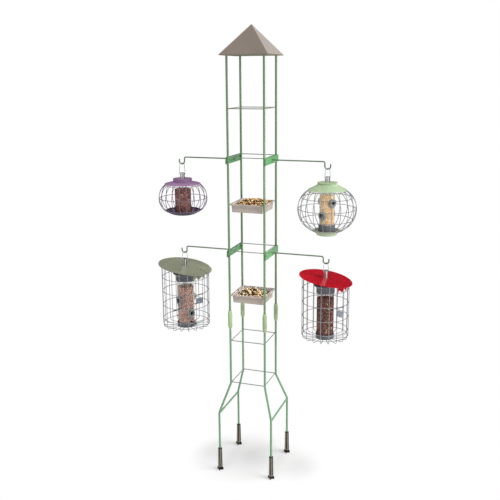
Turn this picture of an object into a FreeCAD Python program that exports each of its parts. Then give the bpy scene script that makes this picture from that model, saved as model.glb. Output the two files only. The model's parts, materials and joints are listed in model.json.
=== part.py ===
import FreeCAD, Part
import math
import os

from FreeCAD import Vector

# A free-standing tower with two seed trays and four caged feeders on hook arms.
# Millimetres, +Z up, origin on the ground at the tower's axis, arms along X.

# Posts and legs
POST_SPACING = 170.0
POST_RADIUS = 5.0
POST_WALL = 1.0
POST_HEADROOM = 6.3
SPLICE_Z = 760.0
FLARE_TOP_Z = 440.0
FLARE_BOTTOM_Z = 300.0
FOOT_SPACING = 260.0
LEG_BEND = 30.0
BRACE_RADIUS = 4.5
BRACE_DROP = 4.0

# Sleeves over the splices, and feet
SLEEVE_LENGTH = 88.0
SLEEVE_RADIUS = 10.0
SLEEVE_END_RADIUS = 7.0
SLEEVE_TAPER = 14.0
SLIP = 0.1
FOOT_HEIGHT = 115.0
FOOT_TOP_RADIUS = 9.5
FOOT_BOTTOM_RADIUS = 11.0
FOOT_CHAMFER = 2.5
FOOT_SOCKET_Z = 18.0
FIN_SPAN = 30.0
FIN_HEIGHT = 12.0
FIN_THICKNESS = 4.0

# Square rod rings inside the posts
RAIL_RADIUS = 2.0
RING_BEND = 8.0
LOWER_RINGS_Z = (445.0, 655.0)
FIRST_RING_Z = 876.0
RING_PITCH = 213.0
RING_COUNT = 5
TOP_RING_RISE = 4.0

# Tower roof
EAVES_Z = 1953.0
EAVES_OVERHANG = 25.5
ROOF_HEIGHT = 131.0
ROOF_HEM = 4.0
ROOF_SHEET = 1.5
SOCKET_RADIUS = 7.5

# Brackets and arms
BRACKET_HEIGHT = 32.0
BRACKET_THICKNESS = 4.0
BRACKET_OVERHANG = 9.0
BRACKET_CORNER = 7.0
BRACKET_RINGS = (3, 1)
ARM_RADIUS = 3.0
ARM_INSIDE = 6.0
ARM_REACH = 348.0
ARM_BEND = 8.0
HOOK_RADIUS = 13.0
HOOK_DROP = 32.0
HOOK_TIP_RISE = 22.0

# Trays
TRAY_RINGS = (2, 0)
TRAY_RIM_HALF = 84.0
TRAY_RIM_CORNER = 16.0
TRAY_POST_GAP = 3.0
TRAY_TOP_HALF = 77.0
TRAY_BOTTOM_HALF = 74.0
TRAY_DEPTH = 38.0
TRAY_SHEET = 1.5
UPPER_SEED_EDGE = 2.0
UPPER_SEED_CROWN = 11.0
LOWER_SEED_EDGE = -15.0
LOWER_SEED_CROWN = -6.0
SEED_GAP = 0.3
REST_GAP = 0.3

# Bails and hangers, the same on all four feeders
BAIL_WIRE = 1.25
BAIL_HALF = 14.0
BAIL_TOP_HALF = 10.5
BAIL_TOP_BEND = 10.0
BAIL_PIN_BEND = 2.4
BAIL_TURN = 45.0
BAIL_GAP = 0.5
PIN_DEPTH = 5.0
PIN_DROP = 6.0
PIN_SLIP = 0.06
BARREL_RADIUS = 11.0
BARREL_EDGE = 1.5
PLUG_RADIUS = 17.0
LID_SLIP = 0.5
ROD_RADIUS = 3.0
WIRE_RADIUS = 1.4

# Purple globe feeder for peanuts; drops are below the hook's axis
NUT_GLOBE_LID_DROP = 68.0
NUT_GLOBE_BARREL = 27.0
NUT_GLOBE_COLLAR_RADIUS = 44.0
NUT_GLOBE_COLLAR = 16.0
NUT_GLOBE_LIP = 1.0
NUT_GLOBE_BRIM_BULGE = 0.2
NUT_GLOBE_BRIM_RADIUS = 84.0
NUT_GLOBE_BRIM_FALL = 8.0
NUT_GLOBE_SHEET = 2.0
NUT_GLOBE_RADIUS = 114.0
NUT_GLOBE_EQUATOR_DROP = 160.0
NUT_GLOBE_RIBS = 20
NUT_GLOBE_FIRST_RIB = 15.9
NUT_GLOBE_TUBE_RADIUS = 38.0
NUT_GLOBE_TUBE_TOP_DROP = 118.0
NUT_GLOBE_DISH_RADIUS = 77.0
NUT_GLOBE_DISH_DROP = 219.0
NUT_GLOBE_FLOOR_RADIUS = 42.0
NUT_GLOBE_FLOOR_DROP = 239.0
NUT_GLOBE_BELLY = 2.5

# Green globe feeder for seed
SEED_GLOBE_LID_DROP = 58.0
SEED_GLOBE_BARREL = 25.0
SEED_GLOBE_COLLAR_RADIUS = 42.0
SEED_GLOBE_COLLAR = 8.0
SEED_GLOBE_LIP = 3.0
SEED_GLOBE_BRIM_BULGE = -0.05
SEED_GLOBE_BRIM_RADIUS = 84.5
SEED_GLOBE_BRIM_FALL = 23.0
SEED_GLOBE_SHEET = 2.0
SEED_GLOBE_RADIUS = 130.0
SEED_GLOBE_EQUATOR_DROP = 174.0
SEED_GLOBE_RIBS = 20
SEED_GLOBE_FIRST_RIB = 4.4
SEED_GLOBE_RING_RISE = 51.0
SEED_GLOBE_TUBE_RADIUS = 34.0
SEED_GLOBE_TUBE_TOP_DROP = 100.0
SEED_GLOBE_SEED_TOP_DROP = 112.0
SEED_GLOBE_CUP_RADIUS = 37.0
SEED_GLOBE_CUP_TOP_DROP = 245.0
SEED_GLOBE_DISH_RADIUS = 52.0
SEED_GLOBE_DISH_DROP = 273.0
SEED_GLOBE_FLOOR_RADIUS = 44.0
SEED_GLOBE_FLOOR_DROP = 292.0
SEED_GLOBE_PORTS = ((148.0, 55.0), (204.0, -21.0))
SEED_GLOBE_PORT_HALF = 19.5

# Cylinder feeders; olive takes seed, red takes peanuts and is a size smaller below its hanger
RED_SIZE = 0.94
CAGE_LID_DROP = 67.0
CAGE_BARREL = 37.0
CAGE_LID_RADIUS = 128.0
CAGE_LID_SHEET = 1.5
CAGE_LID_CURVE = 4000.0
CAGE_LID_TILT = 9.6
CAGE_CLIP_WIDTH = 74.0
CAGE_CLIP_DEPTH = 50.0
CAGE_CLIP_REACH = 98.0
CAGE_CLIP_BEARING = 66.0
CAGE_CLIP_ARCH = 10.0
CAGE_RADIUS = 113.0
CAGE_WIRES = 18
CAGE_BEND = 14.0
CAGE_FLOOR_DROP = 366.0
CAGE_FIRST_RING = 28.0
CAGE_RING_PITCH = 69.0
CAGE_UPPER_RINGS = 4
OLIVE_FIRST_WIRE = 9.9
RED_FIRST_WIRE = 3.4
FUNNEL_RADIUS = 44.5
FUNNEL_FLARE = 60.0
FUNNEL_BOTTOM_DROP = 138.0
FUNNEL_STRAIGHT = 22.0
FUNNEL_WALL = 2.0
CAGE_TUBE_RADIUS = 41.5
CAGE_FILL_TOP_DROP = 167.0
CAGE_CUP_RADIUS = 44.5
CAGE_CUP_TOP_DROP = 345.0
OLIVE_PORTS = ((235.0, -22.0), (299.0, 58.0))
OLIVE_PORT_HALF = 24.0
PERCH_RADIUS = 2.0
PERCH_HALF = 86.0
PERCH_DROP = 40.0
TAG_WIDTH = 38.0
TAG_HEIGHT = 27.0
TAG_THICKNESS = 1.2
TAG_DROP = 30.0
TAG_RING = 3
CLIP_BAR = 3.0
OLIVE_TAG_BEARING = 59.0
RED_TAG_BEARING = 51.0

# Tubes and ports
TUBE_WALL = 1.5
CUP_FLOOR = 3.0
PORT_WIDTH = 16.5
PORT_BORE = 10.5
PORT_BORE_RISE = 4.0
PORT_REACH = 4.0
PORT_HOOD = 8.0
PORT_INSIDE = 7.0

UP = Vector(0, 0, 1)
AXIS_HALF = POST_SPACING / 2
FOOT_HALF = FOOT_SPACING / 2
EAVES_HALF = AXIS_HALF + EAVES_OVERHANG
HEM_Z = EAVES_Z + ROOF_HEM
APEX_Z = EAVES_Z + ROOF_HEIGHT
ROOF_FALL = (APEX_Z - HEM_Z) / EAVES_HALF
INNER_APEX_Z = APEX_Z - ROOF_SHEET / math.cos(math.atan(ROOF_FALL))
POST_TOP_Z = INNER_APEX_Z - ROOF_FALL * (AXIS_HALF + POST_RADIUS) - POST_HEADROOM
RING_REACH = (POST_RADIUS + RAIL_RADIUS) / math.sqrt(2)
RING_HALF = AXIS_HALF - RING_REACH + RING_BEND * (1 - 1 / math.sqrt(2))
BRACKET_FACE = AXIS_HALF + POST_RADIUS
CORNERS = {
    "front_left": (-1, -1),
    "front_right": (1, -1),
    "back_left": (-1, 1),
    "back_right": (1, 1),
}


def save(name, solids):
    """Write one node from its separate solids."""
    shape = solids[0] if len(solids) == 1 else Part.makeCompound(solids)
    shape.exportStep("parts/" + name + ".step")


def ring_z(index):
    return FIRST_RING_Z + index * RING_PITCH


def around(azimuth, radius, centre, z):
    """Point at a bearing measured from the front (-Y) towards +X."""
    turn = math.radians(azimuth)
    return Vector(centre.x + radius * math.sin(turn), centre.y - radius * math.cos(turn), z)


def rod(radius, start, end):
    run = end - start
    return Part.makeCylinder(radius, run.Length, start, run)


def pipe(outer, inner, start, end):
    return rod(outer, start, end).cut(rod(inner, start, end))


def bent_path(points, bends):
    """Straight runs joined by tangent arcs, one bend radius per inner corner."""
    edges = []
    here = points[0]
    for before, corner, after, bend in zip(points, points[1:], points[2:], bends):
        back = (before - corner).normalize()
        ahead = (after - corner).normalize()
        half = back.getAngle(ahead) / 2
        run = bend / math.tan(half)
        middle = corner + (back + ahead).normalize() * (bend / math.sin(half) - bend)
        start = corner + back * run
        end = corner + ahead * run
        if (start - here).Length > 0.001:
            edges.append(Part.LineSegment(here, start).toShape())
        edges.append(Part.Arc(start, middle, end).toShape())
        here = end
    if (points[-1] - here).Length > 0.001:
        edges.append(Part.LineSegment(here, points[-1]).toShape())
    return Part.Wire(edges)


def bent_rod(points, bends, radius):
    section = Part.Wire(Part.makeCircle(radius, points[0], points[1] - points[0]))
    return bent_path(points, bends).makePipeShell([section], True, False)


def square_ring(half, bend, radius, z):
    """Closed square of round rod with bent corners."""
    start = Vector(0, -half, z)
    corners = [Vector(half * x, half * y, z) for x, y in ((1, -1), (1, 1), (-1, 1), (-1, -1))]
    path = bent_path([start] + corners + [start], [bend] * 4)
    section = Part.Wire(Part.makeCircle(radius, start, Vector(1, 0, 0)))
    return path.makePipeShell([section], True, False)


def rounded_square(half, corner, z):
    """Closed wire of a square with round corners."""
    start = Vector(0, -half, z)
    corners = [Vector(half * x, half * y, z) for x, y in ((1, -1), (1, 1), (-1, 1), (-1, -1))]
    return bent_path([start] + corners + [start], [corner] * 4)


def square_block(half_low, corner_low, z_low, half_high, corner_high, z_high):
    low = rounded_square(half_low, corner_low, z_low)
    high = rounded_square(half_high, corner_high, z_high)
    return Part.makeLoft([low, high], True, True)


def pyramid(half, z_base, z_apex):
    base = [Vector(half * x, half * y, z_base) for x, y in ((-1, -1), (1, -1), (1, 1), (-1, 1))]
    apex = Vector(0, 0, z_apex)
    faces = [Part.Face(Part.makePolygon(base + base[:1]))]
    for one, other in zip(base, base[1:] + base[:1]):
        faces.append(Part.Face(Part.makePolygon([one, other, apex, one])))
    return Part.Solid(Part.Shell(faces))


def turned(centre, points):
    """Solid of revolution about a vertical axis; a nested pair is an arc's middle and end."""
    edges = []
    here = points[0]
    for step in points[1:] + points[:1]:
        start = Vector(centre.x + here[0], centre.y, here[1])
        if isinstance(step[0], tuple):
            middle = Vector(centre.x + step[0][0], centre.y, step[0][1])
            here = step[1]
            end = Vector(centre.x + here[0], centre.y, here[1])
            edges.append(Part.Arc(start, middle, end).toShape())
        else:
            here = step
            end = Vector(centre.x + here[0], centre.y, here[1])
            edges.append(Part.LineSegment(start, end).toShape())
    return Part.Face(Part.Wire(edges)).revolve(centre, UP, 360)


def torus(centre, radius, wire, z):
    return Part.makeTorus(radius, wire, Vector(centre.x, centre.y, z), UP)


def bow_radius(widest, end_reach, rise):
    """Radius of the arc that leaves the equator upright and ends at a reach and rise."""
    inset = widest - end_reach
    return (inset ** 2 + rise ** 2) / (2 * inset)


def bow_reach(widest, bow, rise):
    """Distance from the globe's axis to a rib's centre line at a rise from the equator."""
    return widest - bow + math.sqrt(bow ** 2 - rise ** 2)


def inner_ring(widest, end, rise):
    """Reach and rise of a ring that touches the inside of the ribs."""
    bow = bow_radius(widest, end[0], abs(end[1]))
    turn = math.asin(rise / bow)
    inside = bow - 2 * WIRE_RADIUS
    return widest - bow + inside * math.cos(turn), inside * math.sin(turn)


def rib(centre, azimuth, widest, equator, ends):
    """One bowed wire of a globe cage: an upper and a lower arc that meet at the equator."""
    belt = around(azimuth, widest, centre, equator)
    arcs = []
    for reach, rise in ends:
        bow = bow_radius(widest, reach, abs(rise))
        half = math.asin(abs(rise) / bow) / 2
        middle_rise = math.copysign(bow * math.sin(half), rise)
        middle = around(azimuth, bow_reach(widest, bow, middle_rise), centre, equator + middle_rise)
        arcs.append((around(azimuth, reach, centre, equator + rise), middle))
    (top, upper_middle), (low, lower_middle) = arcs
    upper = Part.Arc(top, upper_middle, belt).toShape()
    lower = Part.Arc(belt, lower_middle, low).toShape()
    section = Part.Wire(Part.makeCircle(WIRE_RADIUS, top, upper.tangentAt(upper.FirstParameter)))
    return Part.Wire([upper, lower]).makePipeShell([section], True, False)


def frame_nodes():
    outer_legs = []
    post_bore = POST_RADIUS - POST_WALL
    for name, (x, y) in CORNERS.items():
        splice = Vector(AXIS_HALF * x, AXIS_HALF * y, SPLICE_Z)
        top = Vector(splice.x, splice.y, POST_TOP_Z)
        save("upper_post_" + name, [pipe(POST_RADIUS, post_bore, splice, top)])
        flare_top = Vector(splice.x, splice.y, FLARE_TOP_Z)
        flare_bottom = Vector(FOOT_HALF * x, FOOT_HALF * y, FLARE_BOTTOM_Z)
        seat = Vector(flare_bottom.x, flare_bottom.y, FOOT_SOCKET_Z)
        line = [splice, flare_top, flare_bottom, seat]
        outer = bent_rod(line, [LEG_BEND] * 2, POST_RADIUS)
        save("leg_" + name, [outer.cut(bent_rod(line, [LEG_BEND] * 2, post_bore))])
        outer_legs.append(outer)

    braces = []
    for x in (-FOOT_HALF, FOOT_HALF):
        z = FLARE_BOTTOM_Z - BRACE_DROP
        bar = rod(BRACE_RADIUS, Vector(x, -FOOT_HALF, z), Vector(x, FOOT_HALF, z))
        braces.append(bar.cut(Part.makeCompound(outer_legs)).Solids[0])
    save("leg_braces", braces)

    half = SLEEVE_LENGTH / 2
    bore = POST_RADIUS + SLIP
    sleeves = []
    feet = []
    for x, y in CORNERS.values():
        sleeves.append(turned(Vector(AXIS_HALF * x, AXIS_HALF * y, 0), [
            (bore, SPLICE_Z - half),
            (SLEEVE_END_RADIUS, SPLICE_Z - half),
            (SLEEVE_RADIUS, SPLICE_Z - half + SLEEVE_TAPER),
            (SLEEVE_RADIUS, SPLICE_Z + half - SLEEVE_TAPER),
            (SLEEVE_END_RADIUS, SPLICE_Z + half),
            (bore, SPLICE_Z + half),
        ]))
        ground = Vector(FOOT_HALF * x, FOOT_HALF * y, 0)
        body = turned(ground, [
            (0, FIN_HEIGHT - FIN_THICKNESS),
            (FOOT_BOTTOM_RADIUS, FIN_HEIGHT - FIN_THICKNESS),
            (FOOT_TOP_RADIUS, FOOT_HEIGHT - FOOT_CHAMFER),
            (FOOT_TOP_RADIUS - FOOT_CHAMFER, FOOT_HEIGHT),
            (bore, FOOT_HEIGHT),
            (bore, FOOT_SOCKET_Z),
            (0, FOOT_SOCKET_Z),
        ])
        long_fin = Part.makeBox(FIN_SPAN, FIN_THICKNESS, FIN_HEIGHT)
        long_fin.translate(ground - Vector(FIN_SPAN / 2, FIN_THICKNESS / 2, 0))
        cross_fin = Part.makeBox(FIN_THICKNESS, FIN_SPAN, FIN_HEIGHT)
        cross_fin.translate(ground - Vector(FIN_THICKNESS / 2, FIN_SPAN / 2, 0))
        feet.append(body.fuse([long_fin, cross_fin]).removeSplitter().Solids[0])
    save("joining_sleeves", sleeves)
    save("ground_feet", feet)

    levels = list(LOWER_RINGS_Z)
    levels += [ring_z(i) for i in range(RING_COUNT)]
    levels.append(EAVES_Z + TOP_RING_RISE)
    save("frame_rings", [square_ring(RING_HALF, RING_BEND, RAIL_RADIUS, z) for z in levels])


def roof_nodes():
    inner_half = EAVES_HALF - ROOF_SHEET
    hem = Part.makeBox(2 * EAVES_HALF, 2 * EAVES_HALF, ROOF_HEM)
    hem.translate(Vector(-EAVES_HALF, -EAVES_HALF, EAVES_Z))
    hollow = Part.makeBox(2 * inner_half, 2 * inner_half, ROOF_HEM)
    hollow.translate(Vector(-inner_half, -inner_half, EAVES_Z))
    inside = pyramid((INNER_APEX_Z - EAVES_Z) / ROOF_FALL, EAVES_Z, INNER_APEX_Z)
    loft = pyramid((INNER_APEX_Z - HEM_Z) / ROOF_FALL, HEM_Z, INNER_APEX_Z)
    room = hollow.common(inside).fuse(loft)
    shell = hem.fuse(pyramid(EAVES_HALF, HEM_Z, APEX_Z)).cut(room).removeSplitter()
    save("roof", [shell.Solids[0]])

    sockets = []
    for x, y in CORNERS.values():
        low = Vector(AXIS_HALF * x, AXIS_HALF * y, EAVES_Z + TOP_RING_RISE + RAIL_RADIUS)
        block = rod(SOCKET_RADIUS, low, Vector(low.x, low.y, APEX_Z)).common(room)
        bore = rod(POST_RADIUS + SLIP, low, Vector(low.x, low.y, POST_TOP_Z))
        sockets.append(block.cut(bore).Solids[0])
    save("roof_sockets", sockets)


def bracket_nodes():
    plates = []
    length = POST_SPACING + 2 * BRACKET_OVERHANG
    for level, ring in zip(("upper", "lower"), BRACKET_RINGS):
        z = ring_z(ring) + RAIL_RADIUS - BRACKET_HEIGHT / 2
        for side, sign in (("left", -1), ("right", 1)):
            plate = Part.makeBox(BRACKET_THICKNESS, length, BRACKET_HEIGHT)
            plate.translate(Vector(0, -length / 2, z - BRACKET_HEIGHT / 2))
            ends = [e for e in plate.Edges if abs(e.tangentAt(e.FirstParameter).x) > 0.9]
            plate = plate.makeFillet(BRACKET_CORNER, ends)
            near_x = BRACKET_FACE if sign > 0 else -BRACKET_FACE - BRACKET_THICKNESS
            plate.translate(Vector(near_x, 0, 0))
            hole = rod(ARM_RADIUS, Vector(sign * AXIS_HALF, 0, z), Vector(sign * ARM_REACH, 0, z))
            plates.append(plate.cut(hole).Solids[0])

            inner_x = ARM_REACH - HOOK_RADIUS
            outer_x = ARM_REACH + HOOK_RADIUS
            low = z - HOOK_DROP
            line = [
                Vector(sign * (BRACKET_FACE - ARM_INSIDE), 0, z),
                Vector(sign * inner_x, 0, z),
                Vector(sign * inner_x, 0, low),
                Vector(sign * outer_x, 0, low),
                Vector(sign * outer_x, 0, low + HOOK_TIP_RISE),
            ]
            arm = bent_rod(line, [ARM_BEND, HOOK_RADIUS, HOOK_RADIUS], ARM_RADIUS)
            save("arm_" + level + "_" + side, [arm])
    save("arm_brackets", plates)


def tray_nodes():
    fills = ((UPPER_SEED_EDGE, UPPER_SEED_CROWN), (LOWER_SEED_EDGE, LOWER_SEED_CROWN))
    for level, ring, (edge, crown) in zip(("upper", "lower"), TRAY_RINGS, fills):
        rim_z = ring_z(ring) + RAIL_RADIUS + REST_GAP
        top_z = rim_z + TRAY_SHEET
        floor_z = top_z - TRAY_DEPTH
        past_post = TRAY_RIM_HALF - AXIS_HALF + (POST_RADIUS + TRAY_POST_GAP) / math.sqrt(2)
        rim_corner = max(TRAY_RIM_CORNER, past_post / (1 - 1 / math.sqrt(2)))
        inner_corner = rim_corner - TRAY_RIM_HALF + TRAY_TOP_HALF
        outer = square_block(TRAY_BOTTOM_HALF, inner_corner, floor_z, TRAY_TOP_HALF, inner_corner, top_z)
        flat = rounded_square(TRAY_RIM_HALF, rim_corner, rim_z)
        rim = Part.Face(flat).extrude(UP * TRAY_SHEET)
        draft = (TRAY_TOP_HALF - TRAY_BOTTOM_HALF) / TRAY_DEPTH

        def inside(gap, z_high):
            low = floor_z + TRAY_SHEET + gap
            half_low = TRAY_BOTTOM_HALF - TRAY_SHEET - gap + draft * (low - floor_z)
            half_high = half_low + draft * (z_high - low)
            corner = inner_corner - TRAY_SHEET - gap
            return square_block(half_low, corner, low, half_high, corner, z_high)

        tray = outer.fuse(rim).removeSplitter().cut(inside(0, top_z))
        save("seed_tray_" + level, [tray.Solids[0]])

        half = TRAY_TOP_HALF - TRAY_SHEET
        ball = (half ** 2 + (crown - edge) ** 2) / (2 * (crown - edge))
        heap_z = top_z + crown
        heap = Part.makeSphere(ball, Vector(0, 0, heap_z - ball))
        fill = inside(SEED_GAP, min(heap_z, top_z)).common(heap)
        if heap_z > top_z:
            low = half - SEED_GAP
            above = square_block(low, inner_corner - TRAY_SHEET - SEED_GAP, top_z,
                                 low, inner_corner - TRAY_SHEET - SEED_GAP, heap_z + 1)
            fill = inside(SEED_GAP, top_z).fuse(above.common(heap)).removeSplitter()
        save("tray_seed_" + level, [fill.Solids[0]])


def hook_point(side, level):
    ring = BRACKET_RINGS[0] if level == "upper" else BRACKET_RINGS[1]
    z = ring_z(ring) + RAIL_RADIUS - BRACKET_HEIGHT / 2 - HOOK_DROP
    return Vector(ARM_REACH if side == "right" else -ARM_REACH, 0, z)


def hanger_nodes(name, hook, lid_drop, barrel, plug, rod_bottom):
    """Bail over the hook, and the barrel it pivots on, with a plug in the lid and a long rod."""
    axis = Vector(hook.x, hook.y, 0)
    lid_z = hook.z - lid_drop
    pin_z = lid_z + barrel - PIN_DROP
    top_z = hook.z + ARM_RADIUS + BAIL_WIRE + BAIL_GAP
    turn = math.radians(BAIL_TURN)
    across = Vector(math.cos(turn), math.sin(turn), 0)

    def spot(reach, z):
        return axis + across * reach + UP * z

    inner = BARREL_RADIUS - PIN_DEPTH
    line = [
        spot(-inner, pin_z),
        spot(-BAIL_HALF, pin_z),
        spot(-BAIL_TOP_HALF, top_z),
        spot(BAIL_TOP_HALF, top_z),
        spot(BAIL_HALF, pin_z),
        spot(inner, pin_z),
    ]
    bends = [BAIL_PIN_BEND, BAIL_TOP_BEND, BAIL_TOP_BEND, BAIL_PIN_BEND]
    save(name + "_bail", [bent_rod(line, bends, BAIL_WIRE)])

    post = turned(axis, [
        (0, lid_z - barrel / 4),
        (BARREL_RADIUS, lid_z - barrel / 4),
        (BARREL_RADIUS, lid_z + barrel - BARREL_EDGE),
        (BARREL_RADIUS - BARREL_EDGE, lid_z + barrel),
        (0, lid_z + barrel),
    ])
    stem = rod(ROD_RADIUS, Vector(axis.x, axis.y, rod_bottom), Vector(axis.x, axis.y, lid_z))
    body = post.fuse([stem, plug]).removeSplitter()
    for sign in (-1, 1):
        deep = spot(sign * (inner - PIN_SLIP), pin_z)
        hole = rod(BAIL_WIRE + PIN_SLIP, deep, spot(sign * BAIL_HALF, pin_z))
        body = body.cut(hole)
    save(name + "_hanger", [body.Solids[0]])


def globe_nodes(name, hook, size, first_rib, ribs, ring_rises, dish, loose_ring):
    """Cap, cage and dish of a globe feeder; the ring at the dish can be a node of its own."""
    axis = Vector(hook.x, hook.y, 0)
    lid_z = hook.z - size["lid_drop"]
    sheet = size["sheet"]
    collar = size["collar_radius"]
    brim = size["brim_radius"]
    collar_z = lid_z - size["collar"]
    brim_z = collar_z - size["brim_fall"]
    hole = PLUG_RADIUS + LID_SLIP
    crown = (collar_z + brim_z) / 2 + size["brim_fall"] * size["bulge"]
    middle = (collar + brim) / 2
    save(name + "_cap", [turned(axis, [
        (hole, lid_z),
        (collar + size["lip"], lid_z),
        (collar + size["lip"], lid_z - sheet),
        (collar, lid_z - sheet - size["lip"]),
        (collar, collar_z),
        ((middle, crown), (brim, brim_z)),
        (brim, brim_z - sheet),
        ((middle - sheet, crown - sheet), (collar - sheet, collar_z - sheet)),
        (collar - sheet, lid_z - sheet),
        (hole, lid_z - sheet),
    ])])

    equator = hook.z - size["equator_drop"]
    widest = size["radius"]
    rim_z = hook.z - size["dish_drop"]
    top = (brim - 2 * WIRE_RADIUS, brim_z - sheet - REST_GAP - WIRE_RADIUS - equator)
    low = (size["dish_radius"] + 3 * WIRE_RADIUS, rim_z - 2 * WIRE_RADIUS - equator)
    wires = []
    for i in range(ribs):
        wires.append(rib(axis, first_rib + i * 360 / ribs, widest, equator, (top, low)))
    low_reach, low_rise = inner_ring(widest, low, low[1] + WIRE_RADIUS)
    belts = [inner_ring(widest, top if rise > 0 else low, rise) for rise in ring_rises]
    belts.append(inner_ring(widest, top, top[1] - WIRE_RADIUS))
    for reach, rise in belts:
        wires.append(torus(axis, reach, WIRE_RADIUS, equator + rise))
    dish_ring = torus(axis, low_reach, WIRE_RADIUS, equator + low_rise)
    if loose_ring:
        save(name + "_dish_ring", [dish_ring])
    else:
        wires.append(dish_ring)
    save(name + "_cage", wires)

    floor_z = hook.z - size["floor_drop"]
    rim_z = equator + low_rise + WIRE_RADIUS
    end_turn = math.asin(low[1] / bow_radius(widest, low[0], abs(low[1])))
    rim = min(low_reach - WIRE_RADIUS, low[0] - WIRE_RADIUS * math.cos(end_turn))
    save(name + "_dish", [dish(axis, rim, rim_z, floor_z)])
    return axis, floor_z


def tube_fill(axis, tube_radius, low, high, cuts):
    bottom = Vector(axis.x, axis.y, low)
    top = Vector(axis.x, axis.y, high)
    fill = rod(tube_radius - TUBE_WALL - SEED_GAP, bottom, top)
    bore = rod(ROD_RADIUS + SLIP, bottom, top)
    for tool in [bore] + cuts:
        fill = fill.cut(tool)
    return fill.Solids[0]


def oval_rod(width, height, start, end):
    """Level bar of oval section between two points; width and height are half sizes."""
    side = UP.cross(end - start).normalize()
    oval = Part.Ellipse(start + UP * height, start + side * width, start)
    return Part.Face(Part.Wire(oval.toShape())).extrude(end - start)


def port(axis, tube_radius, z, azimuth, half):
    """Short oval feeding spout with a sloped hood over its mouth."""
    inner = around(azimuth, tube_radius - PORT_INSIDE, axis, z)
    mouth = around(azimuth, tube_radius + PORT_REACH, axis, z)
    lip = around(azimuth, tube_radius + PORT_REACH + PORT_HOOD, axis, z)
    body = oval_rod(PORT_WIDTH, half, inner, lip)
    out = (lip - inner).normalize()
    side = UP.cross(out)
    low = mouth - side * (2 * PORT_WIDTH) - UP * half * 1.01
    slant = Part.Face(Part.makePolygon([
        low,
        low + out * (2 * PORT_HOOD),
        low + out * (2 * PORT_HOOD) + UP * (2.02 * half),
        low + out * PORT_HOOD + UP * (2.02 * half),
        low,
    ])).extrude(side * (4 * PORT_WIDTH))
    body = body.cut(slant)
    rise = UP * PORT_BORE_RISE
    bore = rod(PORT_BORE, inner + rise, lip + out * PORT_HOOD + rise)
    return body.cut(bore).Solids[0]


def seed_tube(name, axis, tube_radius, low, high, fill_high, ports, port_half, perches):
    """Clear tube with its seed; holes and seed follow the ports and perches."""
    low_point = Vector(axis.x, axis.y, low)
    tube = pipe(tube_radius, tube_radius - TUBE_WALL, low_point, Vector(axis.x, axis.y, high))
    cuts = []
    spouts = []
    for z, azimuth in ports:
        for turn in (0, 180):
            inner = around(azimuth + turn, tube_radius - PORT_INSIDE - SEED_GAP, axis, z)
            outer = around(azimuth + turn, tube_radius + PORT_REACH, axis, z)
            tube = tube.cut(oval_rod(PORT_WIDTH + SLIP, port_half + SLIP, inner, outer))
            cuts.append(oval_rod(PORT_WIDTH + SEED_GAP, port_half + SEED_GAP, inner, outer))
            spouts.append(port(axis, tube_radius, z, azimuth + turn, port_half))
    for bar in perches:
        wide = bar.makeOffsetShape(SLIP, 0.001)
        tube = tube.cut(wide)
        cuts.append(wide)
    save(name + "_tube", [tube.Solids[0]])
    save(name + "_seed", [tube_fill(axis, tube_radius, low, fill_high, cuts)])
    save(name + "_ports", spouts)


def nut_globe():
    name = "nut_globe"
    hook = hook_point("left", "upper")
    size = {
        "lid_drop": NUT_GLOBE_LID_DROP,
        "sheet": NUT_GLOBE_SHEET,
        "collar_radius": NUT_GLOBE_COLLAR_RADIUS,
        "collar": NUT_GLOBE_COLLAR,
        "lip": NUT_GLOBE_LIP,
        "bulge": NUT_GLOBE_BRIM_BULGE,
        "brim_radius": NUT_GLOBE_BRIM_RADIUS,
        "brim_fall": NUT_GLOBE_BRIM_FALL,
        "radius": NUT_GLOBE_RADIUS,
        "equator_drop": NUT_GLOBE_EQUATOR_DROP,
        "dish_drop": NUT_GLOBE_DISH_DROP,
        "dish_radius": NUT_GLOBE_DISH_RADIUS,
        "floor_drop": NUT_GLOBE_FLOOR_DROP,
    }
    sheet = NUT_GLOBE_SHEET
    seat = NUT_GLOBE_TUBE_RADIUS + SLIP

    def dish(axis, reach, rim_z, floor_z):
        foot = NUT_GLOBE_FLOOR_RADIUS
        belly = (foot + reach) / 2 + NUT_GLOBE_BELLY / 2
        belly_z = (floor_z + rim_z) / 2 - sheet - NUT_GLOBE_BELLY
        return turned(axis, [
            (ROD_RADIUS + SLIP, floor_z),
            (foot, floor_z),
            ((belly, belly_z), (reach, rim_z - 2 * sheet)),
            (reach, rim_z),
            (reach - sheet, rim_z),
            (reach - sheet, rim_z - 2 * sheet),
            ((belly - sheet, belly_z + sheet), (seat + sheet, floor_z + 2 * sheet)),
            (seat, floor_z + 2 * sheet),
            (seat, floor_z + sheet),
            (ROD_RADIUS + SLIP, floor_z + sheet),
        ])

    axis, floor_z = globe_nodes(
        name, hook, size, NUT_GLOBE_FIRST_RIB, NUT_GLOBE_RIBS, [0.0], dish, False)
    lid_z = hook.z - NUT_GLOBE_LID_DROP
    plug = rod(PLUG_RADIUS, Vector(axis.x, axis.y, lid_z - sheet), Vector(axis.x, axis.y, lid_z))
    hanger_nodes(name, hook, NUT_GLOBE_LID_DROP, NUT_GLOBE_BARREL, plug, floor_z)
    low = floor_z + sheet
    high = hook.z - NUT_GLOBE_TUBE_TOP_DROP
    radius = NUT_GLOBE_TUBE_RADIUS
    bottom = Vector(axis.x, axis.y, low)
    save(name + "_tube", [pipe(radius, radius - TUBE_WALL, bottom, Vector(axis.x, axis.y, high))])
    save(name + "_peanuts", [tube_fill(axis, radius, low, high - 2 * TUBE_WALL, [])])


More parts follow.
